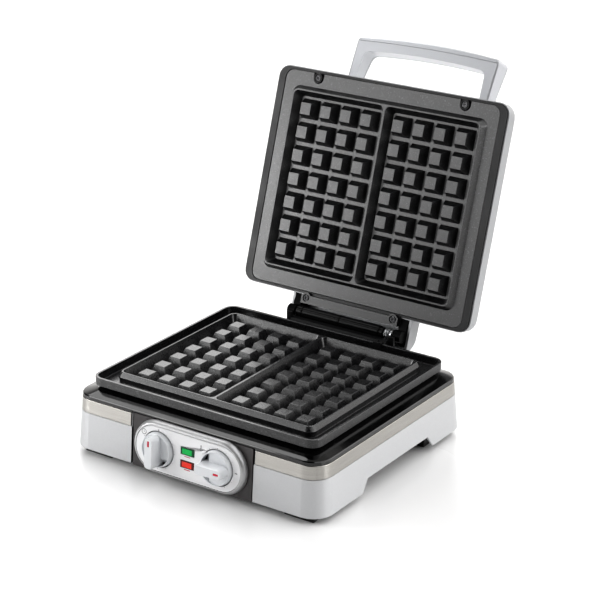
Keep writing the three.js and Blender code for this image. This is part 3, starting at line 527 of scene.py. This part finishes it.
back = Vector((math.sin(CAMERA_AZIMUTH) * math.cos(CAMERA_ELEVATION),
               -math.cos(CAMERA_AZIMUTH) * math.cos(CAMERA_ELEVATION),
               math.sin(CAMERA_ELEVATION)))
right = Vector((math.cos(CAMERA_AZIMUTH), math.sin(CAMERA_AZIMUTH), 0))
up = back.cross(right)
camera_data = bpy.data.cameras.new("camera")
camera_data.sensor_width = 36
camera_data.lens = 122.04
camera_data.shift_x = -0.0072
camera_data.shift_y = -0.0445
camera_data.clip_end = 50
camera = bpy.data.objects.new("camera", camera_data)
collection.objects.link(camera)
camera.matrix_world = Matrix((
    (right.x, up.x, back.x, CAMERA_AT[0]),
    (right.y, up.y, back.y, ORIGIN_Y + CAMERA_AT[1]),
    (right.z, up.z, back.z, CAMERA_AT[2]),
    (0, 0, 0, 1),
))
scene.camera = camera

FLOOR_HALF = 9.0  # m
floor_mesh = bpy.data.meshes.new("floor")
corners = [(sx * FLOOR_HALF, sy * FLOOR_HALF, 0)
           for sx, sy in ((-1, -1), (1, -1), (1, 1), (-1, 1))]
floor_mesh.from_pydata(corners, [], [(0, 1, 2, 3)])
floor = bpy.data.objects.new("floor", floor_mesh)
collection.objects.link(floor)
floor_nodes = Nodes("pale_floor", (0.93, 0.93, 0.93), 0.28)
floor_nodes.gloss(floor_nodes.noise(3, 3), 0.03)
floor_mesh.materials.append(floor_nodes.material)

# ---- Light -----------------------------------------------------------------------------

# Studio: a bright sweep low behind the object, dim above, dark behind the camera.
world = bpy.data.worlds.new("studio")
scene.world = world
world.use_nodes = True
tree = world.node_tree
background = tree.nodes["Background"]
background.inputs["Color"].default_value = (1, 0.985, 0.97, 1)
coordinate = tree.nodes.new("ShaderNodeTexCoord")
split = tree.nodes.new("ShaderNodeSeparateXYZ")
tree.links.new(coordinate.outputs["Generated"], split.inputs["Vector"])


def world_range(socket, low, high, start, end):
    """The world's brightness, eased from start to end between two values of a direction."""
    node = tree.nodes.new("ShaderNodeMapRange")
    node.interpolation_type = "SMOOTHSTEP"
    for key, value in (("From Min", low), ("From Max", high), ("To Min", start), ("To Max", end)):
        node.inputs[key].default_value = value
    tree.links.new(socket, node.inputs["Value"])
    return node.outputs["Result"]


sweep = world_range(split.outputs["Y"], low=-0.1, high=0.55, start=0.05, end=1.25)
fade = world_range(split.outputs["Z"], low=0.36, high=0.7, start=1.0, end=0.3)
glow = tree.nodes.new("ShaderNodeMath")
glow.operation = "MULTIPLY"
tree.links.new(sweep, glow.inputs[0])
tree.links.new(fade, glow.inputs[1])
tree.links.new(glow.outputs["Value"], background.inputs["Strength"])


def soft_sun(name, azimuth, elevation, angle, strength):
    """Very soft parallel light from a compass direction, 0 being behind the object."""
    data = bpy.data.lights.new(name, "SUN")
    data.angle = math.radians(angle)
    data.energy = strength
    light = bpy.data.objects.new(name, data)
    collection.objects.link(light)
    a, e = math.radians(azimuth), math.radians(elevation)
    toward = Vector((math.sin(a) * math.cos(e), math.cos(a) * math.cos(e), math.sin(e)))
    light.rotation_euler = toward.to_track_quat("Z", "Y").to_euler()


def softbox(name, position, target, width, length, power):
    """A rectangle of light, sized in m, that faces its target, with its power in W."""
    data = bpy.data.lights.new(name, "AREA")
    data.shape = "RECTANGLE"
    data.size = width
    data.size_y = length
    data.energy = power
    light = bpy.data.objects.new(name, data)
    collection.objects.link(light)
    light.location = position
    aim = Vector(target) - Vector(position)
    light.rotation_euler = aim.to_track_quat("-Z", "Y").to_euler()


soft_sun("sky_back_right", azimuth=62, elevation=54, angle=75, strength=1.75)
softbox("card_front_left", (-1.25, -1.95, 1.12), (0, 0, 0.2), 1.7, 1.1, 13.5)
softbox("card_near_left", (-0.75, -0.62, 0.30), (-0.14, -0.18, 0.04), 0.4, 0.3, 2.6)
softbox("card_high_left", (-1.35, -0.85, 1.75), (0, -0.05, 0.06), 0.5, 0.5, 4)
softbox("card_right", (2.1, 0.1, 0.95), (0, -0.05, 0.05), 0.4, 0.4, 4)
softbox("card_low_right", (1.9, 0.35, 0.35), (0.1, -0.05, 0.04), 1.2, 0.5, 3.5)
softbox("strip_back_left", (-1.0, 1.2, 1.45), (0, -0.05, 0.08), 0.7, 0.5, 5)
softbox("card_slope", (-0.85, 0.36, 1.25), (0, -0.15, 0.06), 0.6, 0.6, 2.5)
softbox("card_tray", (-1.2, 1.5, 0.95), (0, -0.1, 0.06), 1.2, 0.55, 4.5)

scene.view_settings.view_transform = "Standard"
scene.view_settings.look = "Medium High Contrast"
